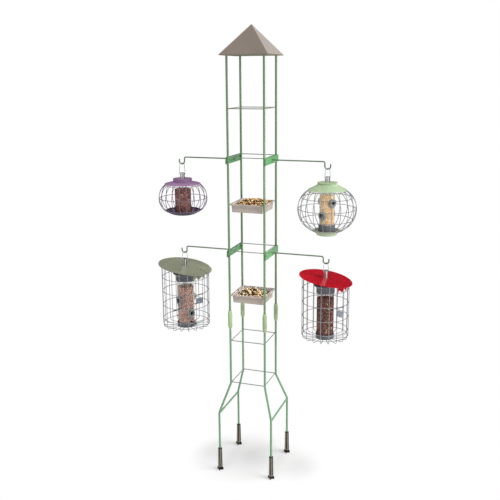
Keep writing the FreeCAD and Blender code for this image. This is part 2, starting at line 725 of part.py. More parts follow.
def seed_globe():
    name = "seed_globe"
    hook = hook_point("right", "upper")
    size = {
        "lid_drop": SEED_GLOBE_LID_DROP,
        "sheet": SEED_GLOBE_SHEET,
        "collar_radius": SEED_GLOBE_COLLAR_RADIUS,
        "collar": SEED_GLOBE_COLLAR,
        "lip": SEED_GLOBE_LIP,
        "bulge": SEED_GLOBE_BRIM_BULGE,
        "brim_radius": SEED_GLOBE_BRIM_RADIUS,
        "brim_fall": SEED_GLOBE_BRIM_FALL,
        "radius": SEED_GLOBE_RADIUS,
        "equator_drop": SEED_GLOBE_EQUATOR_DROP,
        "dish_drop": SEED_GLOBE_DISH_DROP,
        "dish_radius": SEED_GLOBE_DISH_RADIUS,
        "floor_drop": SEED_GLOBE_FLOOR_DROP,
    }
    sheet = SEED_GLOBE_SHEET
    bore = SEED_GLOBE_TUBE_RADIUS + SLIP

    def dish(axis, reach, rim_z, floor_z):
        return turned(axis, [
            (ROD_RADIUS + SLIP, floor_z),
            (SEED_GLOBE_FLOOR_RADIUS, floor_z),
            (reach, rim_z - 2 * sheet),
            (reach, rim_z),
            (reach - sheet, rim_z),
            (reach - sheet, rim_z - 2 * sheet),
            (SEED_GLOBE_FLOOR_RADIUS - sheet, floor_z + sheet),
            (ROD_RADIUS + SLIP, floor_z + sheet),
        ])

    rings = [-SEED_GLOBE_RING_RISE, 0.0, SEED_GLOBE_RING_RISE]
    axis, floor_z = globe_nodes(
        name, hook, size, SEED_GLOBE_FIRST_RIB, SEED_GLOBE_RIBS, rings, dish, True)
    lid_z = hook.z - SEED_GLOBE_LID_DROP
    plug = rod(PLUG_RADIUS, Vector(axis.x, axis.y, lid_z - sheet), Vector(axis.x, axis.y, lid_z))
    hanger_nodes(name, hook, SEED_GLOBE_LID_DROP, SEED_GLOBE_BARREL, plug, floor_z)

    cup_top = hook.z - SEED_GLOBE_CUP_TOP_DROP
    cup_low = floor_z + sheet
    cup_floor = hook.z - SEED_GLOBE_DISH_DROP + CUP_FLOOR
    save(name + "_cup", [turned(axis, [
        (ROD_RADIUS + SLIP, cup_low),
        (SEED_GLOBE_CUP_RADIUS, cup_low),
        (SEED_GLOBE_CUP_RADIUS, cup_top),
        (bore, cup_top),
        (bore, cup_floor),
        (ROD_RADIUS + SLIP, cup_floor),
    ])])
    high = hook.z - SEED_GLOBE_TUBE_TOP_DROP
    fill_top = hook.z - SEED_GLOBE_SEED_TOP_DROP
    ports = [(hook.z - drop, azimuth) for drop, azimuth in SEED_GLOBE_PORTS]
    radius = SEED_GLOBE_TUBE_RADIUS
    seed_tube(name, axis, radius, cup_floor, high, fill_top, ports, SEED_GLOBE_PORT_HALF, [])


def below_lid(hook, size, drop):
    """Height of a part of a cylinder feeder; only what is below its lid takes the size."""
    return hook.z - CAGE_LID_DROP - size * (drop - CAGE_LID_DROP)


def cage_lid(hook, radius):
    """Thick and thin cylinders whose difference is the bent roof sheet, falling towards +X."""
    lid_z = hook.z - CAGE_LID_DROP
    tilt = math.radians(CAGE_LID_TILT)
    bend = Vector(
        hook.x - CAGE_LID_CURVE * math.sin(tilt),
        hook.y - 2 * radius,
        lid_z - CAGE_LID_CURVE * math.cos(tilt),
    )
    outer = Part.makeCylinder(CAGE_LID_CURVE, 4 * radius, bend, Vector(0, 1, 0))
    inner = Part.makeCylinder(CAGE_LID_CURVE - CAGE_LID_SHEET, 4 * radius, bend, Vector(0, 1, 0))
    return lid_z, bend, outer, inner


def lid_clip(axis, size, low_z, high_z):
    """Upright plate with two arches in its lower edge, square to its bearing under the lid."""
    width = size * CAGE_CLIP_WIDTH
    reach = size * CAGE_CLIP_REACH
    plate = Part.makeBox(width, CAGE_LID_SHEET, high_z - low_z)
    plate.translate(Vector(-width / 2, -reach, low_z))
    for place in (-width / 4, width / 4):
        start = Vector(place, -reach - CAGE_LID_SHEET, low_z)
        end = Vector(place, -reach + 2 * CAGE_LID_SHEET, low_z)
        plate = plate.cut(rod(size * CAGE_CLIP_ARCH, start, end))
    plate.rotate(Vector(0, 0, 0), UP, CAGE_CLIP_BEARING)
    plate.translate(axis)
    return plate


def cage_nodes(name, hook, size, first_wire, tag_bearing):
    axis = Vector(hook.x, hook.y, 0)
    lid_radius = size * CAGE_LID_RADIUS
    lid_z, bend, outer, inner = cage_lid(hook, lid_radius)
    low = Vector(axis.x, axis.y, lid_z - lid_radius)
    high = Vector(axis.x, axis.y, lid_z + lid_radius)
    sheet = rod(lid_radius, low, high).common(outer).cut(inner)
    clip = lid_clip(axis, size, below_lid(hook, size, CAGE_LID_DROP + CAGE_CLIP_DEPTH), lid_z)
    clip = clip.common(inner.fuse(sheet))
    hole = rod(PLUG_RADIUS + LID_SLIP, low, high)
    roof = sheet.cut(hole).fuse(clip).removeSplitter()
    save(name + "_roof", [roof.Solids[0]])

    plug = rod(PLUG_RADIUS, low, high).common(sheet)
    floor_z = below_lid(hook, size, CAGE_FLOOR_DROP)
    hanger_nodes(name, hook, CAGE_LID_DROP, CAGE_BARREL, plug, floor_z)

    radius = size * CAGE_RADIUS
    cup_radius = size * CAGE_CUP_RADIUS
    under = CAGE_LID_CURVE - CAGE_LID_SHEET
    wires = []
    for i in range(CAGE_WIRES):
        azimuth = first_wire + i * 360 / CAGE_WIRES
        foot = around(azimuth, radius, axis, floor_z)
        far = foot.x + WIRE_RADIUS - bend.x
        top = bend.z + math.sqrt(under ** 2 - far ** 2) - REST_GAP
        line = [
            Vector(foot.x, foot.y, top),
            foot,
            around(azimuth, cup_radius, axis, floor_z),
        ]
        wires.append(bent_rod(line, [CAGE_BEND], WIRE_RADIUS))
    ring_heights = [floor_z + CAGE_BEND]
    for i in range(CAGE_UPPER_RINGS):
        rise = CAGE_FIRST_RING + i * CAGE_RING_PITCH
        ring_heights.append(floor_z + CAGE_BEND + size * rise)
    for z in ring_heights:
        wires.append(torus(axis, radius - 2 * WIRE_RADIUS, WIRE_RADIUS, z))
    save(name + "_cage", wires)

    bar_z = ring_heights[TAG_RING]
    turns = [math.radians(first_wire + i * 360 / CAGE_WIRES - tag_bearing) for i in range(CAGE_WIRES)]
    backs = [math.cos(t) for t in turns if abs(radius * math.sin(t)) < TAG_WIDTH / 2]
    seat = radius * max(backs) + WIRE_RADIUS
    trim = []
    for thick, tall, z in (
        (CLIP_BAR, CLIP_BAR, bar_z),
        (TAG_THICKNESS, TAG_HEIGHT, bar_z - TAG_DROP),
    ):
        block = Part.makeBox(TAG_WIDTH, thick, tall)
        block.translate(Vector(-TAG_WIDTH / 2, -thick, -tall / 2))
        block.rotate(Vector(0, 0, 0), UP, tag_bearing)
        block.translate(around(tag_bearing, seat, axis, z))
        trim.append(block)
    save(name + "_tag", trim)

    tube_radius = size * CAGE_TUBE_RADIUS
    funnel_radius = size * FUNNEL_RADIUS
    flare = size * FUNNEL_FLARE
    funnel_low = below_lid(hook, size, FUNNEL_BOTTOM_DROP)
    bore = tube_radius + SLIP
    flare_z = funnel_low + FUNNEL_STRAIGHT
    rim_z = flare_z + flare - funnel_radius
    save(name + "_funnel", [turned(axis, [
        (bore, funnel_low),
        (funnel_radius, funnel_low),
        (funnel_radius, flare_z),
        (flare, rim_z),
        (flare, rim_z + FUNNEL_WALL),
        (flare - FUNNEL_WALL, rim_z + FUNNEL_WALL),
        (tube_radius - TUBE_WALL, flare_z + FUNNEL_WALL),
        (tube_radius - TUBE_WALL, flare_z - FUNNEL_WALL),
        (bore, flare_z - FUNNEL_WALL),
    ])])

    cup_top = below_lid(hook, size, CAGE_CUP_TOP_DROP)
    cup_low = floor_z - WIRE_RADIUS
    cup_floor = cup_low + CUP_FLOOR
    save(name + "_cup", [turned(axis, [
        (ROD_RADIUS + SLIP, cup_low),
        (cup_radius, cup_low),
        (cup_radius, cup_top),
        (bore, cup_top),
        (bore, cup_floor),
        (ROD_RADIUS + SLIP, cup_floor),
    ])])
    fill_top = below_lid(hook, size, CAGE_FILL_TOP_DROP)
    return axis, tube_radius, cup_floor, flare_z - FUNNEL_WALL, fill_top


def seed_cage():
    name = "seed_cage"
    hook = hook_point("left", "lower")
    axis, radius, low, high, fill_top = cage_nodes(
        name, hook, 1, OLIVE_FIRST_WIRE, OLIVE_TAG_BEARING)
    ports = [(hook.z - drop, azimuth) for drop, azimuth in OLIVE_PORTS]
    stem = rod(ROD_RADIUS + SLIP, Vector(axis.x, axis.y, low), Vector(axis.x, axis.y, high))
    bars = []
    for z, azimuth in ports:
        one = around(azimuth, PERCH_HALF, axis, z - PERCH_DROP)
        other = around(azimuth + 180, PERCH_HALF, axis, z - PERCH_DROP)
        bars.append(rod(PERCH_RADIUS, one, other))
    seed_tube(name, axis, radius, low, high, fill_top, ports, OLIVE_PORT_HALF, bars)
    save(name + "_perches", [piece for bar in bars for piece in bar.cut(stem).Solids])


def nut_cage():
    name = "nut_cage"
    hook = hook_point("right", "lower")
    axis, radius, low, high, fill_top = cage_nodes(
        name, hook, RED_SIZE, RED_FIRST_WIRE, RED_TAG_BEARING)
    bottom = Vector(axis.x, axis.y, low)
    save(name + "_tube", [pipe(radius, radius - TUBE_WALL, bottom, Vector(axis.x, axis.y, high))])
    save(name + "_peanuts", [tube_fill(axis, radius, low, fill_top, [])])


os.makedirs("parts", exist_ok=True)
frame_nodes()
roof_nodes()
bracket_nodes()
tray_nodes()
nut_globe()
seed_globe()
seed_cage()
nut_cage()
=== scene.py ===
import json
import math
import random

import bpy
import numpy as np
from mathutils import Euler, Matrix, Vector


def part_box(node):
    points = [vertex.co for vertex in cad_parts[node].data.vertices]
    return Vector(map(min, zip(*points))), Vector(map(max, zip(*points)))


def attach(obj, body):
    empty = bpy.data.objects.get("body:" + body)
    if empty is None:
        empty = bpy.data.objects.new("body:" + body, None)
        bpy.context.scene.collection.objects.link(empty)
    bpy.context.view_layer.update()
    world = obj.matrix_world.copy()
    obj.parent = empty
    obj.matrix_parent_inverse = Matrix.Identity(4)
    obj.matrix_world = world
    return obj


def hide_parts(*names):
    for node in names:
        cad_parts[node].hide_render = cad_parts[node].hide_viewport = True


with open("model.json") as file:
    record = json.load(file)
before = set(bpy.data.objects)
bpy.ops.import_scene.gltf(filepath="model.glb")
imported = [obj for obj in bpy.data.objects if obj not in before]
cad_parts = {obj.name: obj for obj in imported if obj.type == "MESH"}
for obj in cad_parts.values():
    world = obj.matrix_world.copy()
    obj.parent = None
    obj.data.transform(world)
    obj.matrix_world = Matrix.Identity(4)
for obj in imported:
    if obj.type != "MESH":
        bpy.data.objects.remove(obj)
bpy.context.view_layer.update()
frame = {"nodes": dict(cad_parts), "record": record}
NODES = frame["nodes"]
SLOTS = {row["node"]: row["material_slot"] for row in frame["record"]["subparts"]}

# Lengths are in metres, camera and lamp angles in degrees, colours in display values to 255.

ARM_REACH = 0.348
POST_AXIS = 0.085
FOOT_AXIS = 0.13
PORT_BORE = 0.0105
PORT_BORE_RISE = 0.004
TRAYS = ("upper", "lower")
FEEDERS = {"nut_globe": -ARM_REACH, "seed_globe": ARM_REACH,
           "seed_cage": -ARM_REACH, "nut_cage": ARM_REACH}

CAMERA_PLACE = (1.0835, -3.0802, 1.8727)
CAMERA_YAW, CAMERA_PITCH, CAMERA_ROLL = -19.616, -13.638, -0.437
CAMERA_LENS, CAMERA_SENSOR = 52.12, 36

AMBIENT = 0.26
LAMP_TARGET = (0, 0, 1.2)
GROUND_HALF = 30
GROUND_TONE = 0.82
GROUND_GLOW = 0.18
GROUND_FADE = (0.19, 0.35)
CARD_TONE = 0.04
ROOM_CARDS = ((-160, -76, 0.02), (-14, 18, 0.02), (94, 150, 0.02), (150, 200, 1.1))
ROOM_RADIUS, ROOM_TOP = 1.6, 2.1
FOOT_CARDS = ((-22, 26), (88, 284))
FOOT_CARD_RADIUS, FOOT_CARD_LOW, FOOT_CARD_TOP = 0.04, 0.001, 0.125

LID_COLOURS = {"nut_globe": (158, 124, 162), "seed_globe": (174, 195, 158),
               "seed_cage": (152, 155, 133), "nut_cage": (184, 18, 37)}
RAIL_COLOUR = (140, 150, 136)
TRAY_COLOUR = (191, 178, 169)
# paler tray colour: painted light on the trays' inner sides
TRAY_INSIDE_PAINTED_LIGHT = (224, 214, 208)
# dark colour of the feet's bottoms and of their top rims
FOOT_DARK_COLOUR = (52, 46, 40)
STEEL_DARK, STEEL_BRIGHT = (186, 186, 188), (226, 226, 228)

# colour, roughness, specular, stretch of the drift where it has one
PAINTS = {
    "roof_paint": ((136, 122, 111), 0.3, 0.6, (1.5, 1.5, 1)),
    # frame_paint and lit_leg_paint are one green: darker on the upper frame as painted shade under
    # the roof, lighter on the legs and braces below as painted light
    "frame_paint": ((116, 146, 108), 0.42, 0.2),
    "lit_leg_paint": ((126, 170, 130), 0.42, 0.2),
    "plate_paint": ((100, 156, 104), 0.42, 0.2),
    "arm_paint": ((108, 128, 104), 0.42, 0.2),
    "purple_paint": (LID_COLOURS["nut_globe"], 0.36, 0.15),
    "purple_wire": ((126, 106, 132), 0.36, 0.3),
    "celadon_paint": (LID_COLOURS["seed_globe"], 0.4, 0.12),
    "olive_paint": (LID_COLOURS["seed_cage"], 0.16, 0.4),
    "red_paint": (LID_COLOURS["nut_cage"], 0.16, 0.4),
}
# colour, roughness
PLASTICS = {
    "sleeve": ((172, 196, 150), 0.55),
    "purple_dish": ((54, 43, 66), 0.38),
    "celadon_dish": ((176, 198, 164), 0.42),
    "dark_plastic": ((102, 104, 110), 0.45),
    "port": ((134, 135, 132), 0.4),
    # black of the discs at the inner ends of the ports: painted shade in their bores
    "throat": ((7, 7, 8), 0.8),
    "perch": ((20, 20, 22), 0.5),
}
# colour, roughness, metallic, then stretch and scale of the streaks where they are coarse
METALS = {
    "bright_wire": ((212, 213, 215), 0.3, 0.7),
    "grey_wire": ((180, 181, 185), 0.36, 0.6),
    "globe_wire": ((156, 158, 162), 0.36, 0.6),
    "mesh_tube": ((150, 140, 138), 0.4, 1.0),
    "tag_metal": ((138, 142, 156), 0.5, 0.1, (1, 1, 14), 60),
}
# darkest, middle and lightest kernel, roughness, worn patches where it has them
KERNELS = {
    "nut_skin": ((112, 64, 58), (164, 104, 94), (198, 140, 124), 0.5, (212, 164, 146)),
    "nut_dark": ((64, 32, 24), (118, 64, 50), (176, 110, 84), 0.45, (200, 138, 108)),
    "nut_pale": ((240, 198, 142), (252, 222, 174), (255, 240, 208), 0.5),
    "husk": ((30, 20, 12), (54, 36, 22), (92, 62, 38), 0.45),
    "crumb": ((120, 82, 48), (150, 106, 66), (170, 124, 80), 0.7),
    "shade": ((58, 38, 22), (70, 46, 28), (84, 56, 34), 0.8),
    "tan_seed": ((148, 100, 54), (206, 158, 98), (242, 206, 146), 0.5),
    "corn": ((228, 160, 90), (246, 194, 124), (254, 220, 164), 0.45),
    "pink_seed": ((178, 120, 102), (216, 164, 146), (236, 198, 178), 0.5),
}

TRAY_TOP_HALF = 0.077
TRAY_ROOM_HALF = 0.0752
TRAY_ROOM_CORNER = 0.009
TRAY_FLOOR = 0.002
CORNER_BACK = 0.75
BED_STEPS = 18
BED_DEPTH = 0.006
HUSK_PITCH, HUSK_SINK = 0.008, 0.0035
# slump at which every kernel in the back right corner turns to a dark husk, as painted shade
SHADE_HUSK_SLUMP = 0.012
KERNEL_ROLL, KERNEL_TIP = 0.35, 0.3
KERNEL_SIZES = (0.85, 1.15)

HANGER_BARREL = 0.0114
MESH_WIRE = 0.00042
MESH_UPRIGHTS = 38
MESH_PITCH = 0.0063
MESH_STEPS = 64
MESH_BAND, MESH_BAND_WALL = 0.004, 0.0014
BAR_RADIUS, BAR_GROOVE = 0.003, 0.0027
BAR_END, RIB_PITCH = 0.004, 0.004
WELD_INSET, WELD_SIZE = 0.0042, (0.0032, 0.0032, 0.0026)
ARM_WELD_RING, ARM_WELD_RADIUS = 0.0034, 0.0012


# Node trees

class Tree:
    """A node tree with short ways to add nodes and links."""

    def __init__(self, owner):
        owner.use_nodes = True
        self.nodes = owner.node_tree.nodes
        self.links = owner.node_tree.links

    def add(self, kind, **settings):
        node = self.nodes.new("ShaderNode" + kind)
        for key, value in settings.items():
            setattr(node, key, value)
        return node

    def feed(self, node, socket, source):
        """Sets a constant on a socket, or links a source to it."""
        if isinstance(source, (int, float, tuple)):
            node.inputs[socket].default_value = source
        else:
            self.links.new(source, node.inputs[socket])

    def join(self, kind, *sources, **settings):
        """New node that takes the sources in order."""
        node = self.add(kind, **settings)
        for index, source in enumerate(sources):
            self.feed(node, index, source)
        return node

    def calc(self, operation, *sources):
        return self.join("Math", *sources, operation=operation).outputs[0]

    def vector(self, operation, *sources):
        node = self.join("VectorMath", *sources, operation=operation)
        return node.outputs["Value" if operation in ("LENGTH", "DOT_PRODUCT") else "Vector"]

    def span(self, source, low, high, start=0.3, end=0.7, curve="LINEAR"):
        """The source from start to end, as a number from low to high."""
        node = self.add("MapRange", interpolation_type=curve)
        sockets = ("Value", "From Min", "From Max", "To Min", "To Max")
        for socket, value in zip(sockets, (source, start, end, low, high)):
            self.feed(node, socket, value)
        return node.outputs["Result"]

    def spot(self):
        return self.add("TexCoord").outputs["Object"]

    def height(self):
        return self.join("SeparateXYZ", self.spot()).outputs["Z"]

    def surface(self, source):
        self.feed(self.nodes["Material Output"], "Surface", source)


# Camera, ground and light

def make_camera():
    data = bpy.data.cameras.new("camera")
    data.sensor_width = CAMERA_SENSOR
    data.lens = CAMERA_LENS
    camera = bpy.data.objects.new("camera", data)
    bpy.context.scene.collection.objects.link(camera)
    yaw, pitch, roll = (math.radians(a) for a in (CAMERA_YAW, CAMERA_PITCH, CAMERA_ROLL))
    flat = math.cos(pitch)
    ahead = Vector((math.sin(yaw) * flat, math.cos(yaw) * flat, math.sin(pitch)))
    right = Vector((math.cos(yaw), -math.sin(yaw), 0))
    up = right.cross(ahead)
    axes = Matrix((
        right * math.cos(roll) + up * math.sin(roll),
        up * math.cos(roll) - right * math.sin(roll),
        -ahead,
    )).transposed()
    camera.matrix_world = Matrix.Translation(CAMERA_PLACE) @ axes.to_4x4()
    bpy.context.scene.camera = camera


def new_lamp(name, kind, ahead, place=(0, 0, 0)):
    """Lamp that shines ahead and that polished surfaces don't show."""
    lamp = bpy.data.objects.new(name, bpy.data.lights.new(name, kind))
    bpy.context.scene.collection.objects.link(lamp)
    lamp.location = place
    lamp.rotation_euler = ahead.to_track_quat("-Z", "Y").to_euler()
    lamp.visible_glossy = False
    return lamp


def area_lamp(name, place, target, size, level):
    """Soft square lamp; level is what it adds to a white surface that faces it at the target."""
    run = Vector(target) - Vector(place)
    lamp = new_lamp(name, "AREA", run, place)
    lamp.data.size = size
    lamp.data.energy = level * math.pi ** 2 * run.length_squared
    lamp.visible_camera = False


def sun_lamp(name, direction, spread, level):
    """Far lamp of even strength; level is what it adds to a white surface that faces it."""
    lamp = new_lamp(name, "SUN", -Vector(direction))
    lamp.data.energy = level * math.pi
    lamp.data.angle = math.radians(spread)
    return lamp


def spot_lamp(name, target, direction, away, cone, level):
    """Narrow lamp on one place; level is what it adds to a white surface that faces it there."""
    place = Vector(target) + Vector(direction).normalized() * away
    lamp = new_lamp(name, "SPOT", -Vector(direction), place)
    lamp.data.energy = level * 4 * math.pi ** 2 * away ** 2
    lamp.data.spot_size = math.radians(cone)
    lamp.data.spot_blend = 0.7
    lamp.data.shadow_soft_size = 0.12


def tray_top(tray):
    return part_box("seed_tray_" + tray)[1].z


def make_lamps():
    area_lamp("key", (5.6, 0.2, 2.7), LAMP_TARGET, size=5.0, level=1.0)
    area_lamp("fill", (-2.0, -5.2, 1.2), LAMP_TARGET, size=2.4, level=0.16)
    overhead = sun_lamp("overhead", (0.02, -0.03, 1), spread=14, level=0.45)
    shadow_makers = bpy.data.collections.new("shadow_makers")
    for name, node in NODES.items():
        if not name.startswith(("nut_globe", "seed_globe")) or name.endswith("_ports"):
            shadow_makers.objects.link(node)
    overhead.light_linking.blocker_collection = shadow_makers
    for tray in TRAYS:
        spot_lamp(tray + "_tray", (0, 0, tray_top(tray)), (1.0, -0.55, 1.1),
                  away=3.0, cone=6.4, level=0.8)


def seen_directly(tree):
    """1 for rays that show the background: straight, mirrored in metal or through glass."""
    path = tree.add("LightPath")
    total = path.outputs["Is Camera Ray"]
    for name in ("Is Glossy Ray", "Is Transmission Ray"):
        total = tree.calc("MAXIMUM", total, path.outputs[name])
    return total


def make_world():
    scene = bpy.context.scene
    scene.view_settings.view_transform = "Standard"
    scene.world = bpy.data.worlds.new("studio")
    tree = Tree(scene.world)
    strength = tree.add("Mix")
    tree.feed(strength, "Factor", seen_directly(tree))
    tree.feed(strength, "A", AMBIENT)
    tree.feed(strength, "B", 1.0)
    sky = tree.nodes["Background"]
    tree.feed(sky, "Color", (1, 1, 1, 1))
    tree.feed(sky, "Strength", strength.outputs["Result"])


def stage_piece(name, points, faces, material_name):
    """Mesh that is no part of the object, and the node tree of its still empty material."""
    mesh = bpy.data.meshes.new(name)
    mesh.from_pydata(points, [], faces)
    thing = bpy.data.objects.new(name, mesh)
    bpy.context.scene.collection.objects.link(thing)
    material = bpy.data.materials.new(material_name)
    mesh.materials.append(material)
    tree = Tree(material)
    tree.nodes.remove(tree.nodes["Principled BSDF"])
    return thing, tree


def make_cards():
    """Dark boards that only polished surfaces see, so that metal keeps dark edges on white."""
    points, faces = [], []

    def card(centre, radius, start, end, low, high):
        steps = 10
        first = len(points)
        for k in range(steps + 1):
            turn = math.radians(start + (end - start) * k / steps)
            spot = (centre[0] + radius * math.sin(turn), centre[1] - radius * math.cos(turn))
            points.extend([(*spot, low), (*spot, high)])
        for k in range(first, first + 2 * steps, 2):
            faces.append((k, k + 2, k + 3, k + 1))

    for start, end, low in ROOM_CARDS:
        card((0, 0), ROOM_RADIUS, start, end, low, ROOM_TOP)
    for x in (-FOOT_AXIS, FOOT_AXIS):
        for y in (-FOOT_AXIS, FOOT_AXIS):
            for start, end in FOOT_CARDS:
                card((x, y), FOOT_CARD_RADIUS, start, end, FOOT_CARD_LOW, FOOT_CARD_TOP)
    cards, tree = stage_piece("cards", points, faces, "card")
    cards.visible_camera = cards.visible_diffuse = False
    cards.visible_transmission = cards.visible_shadow = False
    tree.surface(tree.join("BsdfDiffuse", (CARD_TONE, CARD_TONE, CARD_TONE, 1)).outputs[0])


def make_ground():
    """White ground: it takes the shadow between the feet, and fades to plain white round them."""
    far = GROUND_HALF
    corners = [(-far, -far, 0), (far, -far, 0), (far, far, 0), (-far, far, 0)]
    _, tree = stage_piece("ground", corners, [(0, 1, 2, 3)], "ground")
    seen = seen_directly(tree)
    matt = tree.join("BsdfDiffuse", (GROUND_TONE, GROUND_TONE, GROUND_TONE, 1))
    glow = tree.add("Emission")
    tree.feed(glow, "Strength", tree.calc("MULTIPLY", seen, GROUND_GLOW))
    both = tree.join("AddShader", matt.outputs[0], glow.outputs[0])
    white = tree.add("Emission")
    fade = tree.span(tree.vector("LENGTH", tree.spot()), 0.0, 1.0, *GROUND_FADE, "SMOOTHSTEP")
    share = tree.calc("MULTIPLY", fade, seen)
    tree.surface(tree.join("MixShader", share, both.outputs[0], white.outputs[0]).outputs[0])


# Materials

def linear(colour):
    """Linear red, green, blue from 0 to 255 display values."""
    return tuple((c / 255 / 12.92) if c <= 10 else ((c / 255 + 0.055) / 1.055) ** 2.4
                 for c in colour)


def shade(colour, factor):
    return tuple(min(1.0, c * factor) for c in colour)


class Look(Tree):
    """A Principled material with short ways to add texture to it."""

    def __init__(self, name, roughness, metallic=0.0, specular=0.5):
        self.material = bpy.data.materials.new(name)
        super().__init__(self.material)
        self.shader = self.nodes["Principled BSDF"]
        self.set("Roughness", roughness)
        self.set("Metallic", metallic)
        self.set("Specular IOR Level", specular)

    def set(self, socket, source):
        self.feed(self.shader, socket, source)

    def noise(self, scale, detail, stretch=(1, 1, 1)):
        mapping = self.add("Mapping")
        self.feed(mapping, "Vector", self.spot())
        self.feed(mapping, "Scale", stretch)
        node = self.add("TexNoise")
        self.feed(node, "Vector", mapping.outputs["Vector"])
        self.feed(node, "Scale", scale)
        self.feed(node, "Detail", detail)
        return node.outputs["Fac"]

    def ramp(self, source, stops):
        node = self.join("ValToRGB", source)
        elements = node.color_ramp.elements
        while len(elements) < len(stops):
            elements.new(0.5)
        for element, (place, colour) in zip(elements, stops):
            element.position = place
            element.color = (*colour, 1)
        return node.outputs["Color"]

    def mix(self, factor, one, other, blend="MIX"):
        """Blend of two colours, which a Mix node has on its sockets 6 and 7."""
        node = self.add("Mix", data_type="RGBA", blend_type=blend)
        self.feed(node, "Factor", factor)
        for socket, source in ((6, one), (7, other)):
            self.feed(node, socket, (*source, 1) if isinstance(source, tuple) else source)
        return node.outputs[2]

    def bump(self, height, distance, strength):
        node = self.add("Bump")
        self.feed(node, "Strength", strength)
        self.feed(node, "Distance", distance)
        self.feed(node, "Height", height)
        self.set("Normal", node.outputs["Normal"])


def painted(name, colour, roughness, specular, streak=(1, 1, 1)):
    """Sprayed paint: slow drift of tone, a few fine specks, orange peel. Look and its tone."""
    look = Look(name, roughness, specular=specular)
    base = linear(colour)
    drift = look.noise(9, 4, streak)
    tone = look.ramp(drift, [(0.3, shade(base, 0.93)), (0.5, base), (0.7, shade(base, 1.06))])
    speck = look.noise(900, 2)
    marks = look.ramp(speck, [(0.26, (0.88, 0.88, 0.88)), (0.36, (1, 1, 1))])
    look.set("Roughness", look.span(drift, roughness - 0.05, roughness + 0.06))
    peel = look.calc("ADD", look.noise(800, 1), look.calc("MULTIPLY", speck, 0.4))
    look.bump(peel, 0.0003, 0.05)
    return look, look.mix(0.5, tone, marks, "MULTIPLY")


def paint(name, *settings):
    look, tone = painted(name, *settings)
    look.set("Base Color", tone)
    return look.material


def rail_paint(name):
    """Frame rods in paint; the two rods that carry the trays share the trays' paint."""
    look, tone = painted(name, RAIL_COLOUR, 0.42, 0.2)
    height = look.height()
    for tray in TRAYS:
        band = look.calc("COMPARE", height, tray_top(tray), 0.008)
        tone = look.mix(band, tone, linear(TRAY_COLOUR))
    look.set("Base Color", tone)
    return look.material


def tray_paint(name):
    """Sheet trays in paint, with the sides that face inwards painted paler as painted light."""
    look, tone = painted(name, TRAY_COLOUR, 0.46, 0.3)
    normal = look.add("NewGeometry").outputs["Normal"]
    outward = look.vector("DOT_PRODUCT", look.vector("MULTIPLY", look.spot(), (1, 1, 0)), normal)
    # painted light: faces that point inwards take the paler inside colour
    inner = look.span(outward, 0.0, 1.0, 0.01, -0.01)
    look.set("Base Color", look.mix(inner, tone, linear(TRAY_INSIDE_PAINTED_LIGHT)))
    return look.material


def foot_metal(name, colour):
    """Bronze-toned tube feet: drawn streaks, a dark rim on top, and dark fins below."""
    look = Look(name, 0.2, 1.0)
    base = linear(colour)
    foot_dark = linear(FOOT_DARK_COLOUR)
    line = look.noise(400, 2, (1, 1, 0.03))
    tone = look.ramp(line, [(0.3, shade(base, 0.8)), (0.7, shade(base, 1.12))])
    height = look.height()
    # darker and rougher towards the bottom, below an uneven line, and dark in a thin band at the
    # top
    edge = look.calc("ADD", height, look.span(look.noise(90, 3), -0.004, 0.004))
    above_bottom_band = look.span(edge, 0.0, 1.0, 0.011, 0.02)
    rim = look.span(height, 0.0, 0.85, 0.1105, 0.1115)
    look.set("Base Color", look.mix(rim, look.mix(above_bottom_band, foot_dark, tone), foot_dark))
    look.set("Roughness", look.span(above_bottom_band, 0.6, 0.2, 0, 1))
    look.bump(line, 0.0002, 0.15)
    return look.material


def plastic(name, colour, roughness):
    """Moulded plastic with a fine spark texture."""
    look = Look(name, roughness, specular=0.3)
    base = linear(colour)
    tones = [(0.3, shade(base, 0.86)), (0.7, shade(base, 1.12))]
    look.set("Base Color", look.ramp(look.noise(14, 3), tones))
    look.set("Roughness", look.span(look.noise(60, 3), roughness - 0.06, roughness + 0.08))
    look.bump(look.noise(1600, 1), 0.0003, 0.22)
    return look.material


def metal(name, colour, roughness, metallic, streak=(1, 1, 0.04), scale=500):
    """Drawn or turned metal: fine streaks along the work and a slow change of gloss."""
    look = Look(name, roughness, metallic)
    base = linear(colour)
    line = look.noise(scale, 2, streak)
    cloud = look.noise(22, 3)
    tone = look.ramp(line, [(0.3, shade(base, 0.8)), (0.7, shade(base, 1.15))])
    dull = look.ramp(cloud, [(0.35, (0.84, 0.84, 0.84)), (0.65, (1, 1, 1))])
    look.set("Base Color", look.mix(0.8, tone, dull, "MULTIPLY"))
    look.set("Roughness", look.span(cloud, roughness - 0.08, roughness + 0.1))
    look.bump(line, 0.0002, 0.15)
    return look.material


def hanger(name, axis_x, lid_colour):
    """Bright turned barrel and rod; the flat plug round them is painted like the lid."""
    look = Look(name, 0.24, 1.0)
    shift = look.vector("SUBTRACT", look.spot(), (axis_x, 0, 0))
    reach = look.vector("LENGTH", look.vector("MULTIPLY", shift, (1, 1, 0)))
    plug = look.calc("GREATER_THAN", reach, HANGER_BARREL)
    line = look.noise(700, 2, (0.05, 0.05, 1))
    steel = look.ramp(line, [(0.3, linear(STEEL_DARK)), (0.7, linear(STEEL_BRIGHT))])
    base = linear(lid_colour)
    coat = look.ramp(look.noise(30, 3), [(0.3, shade(base, 0.9)), (0.7, shade(base, 1.08))])
    look.set("Base Color", look.mix(plug, steel, coat))
    look.set("Metallic", look.span(plug, 1.0, 0.0, 0, 1))
    gloss = look.span(plug, 0.2, 0.36, 0, 1)
    look.set("Roughness", look.calc("ADD", gloss, look.span(line, -0.04, 0.06)))
    look.bump(line, 0.0002, 0.2)
    return look.material


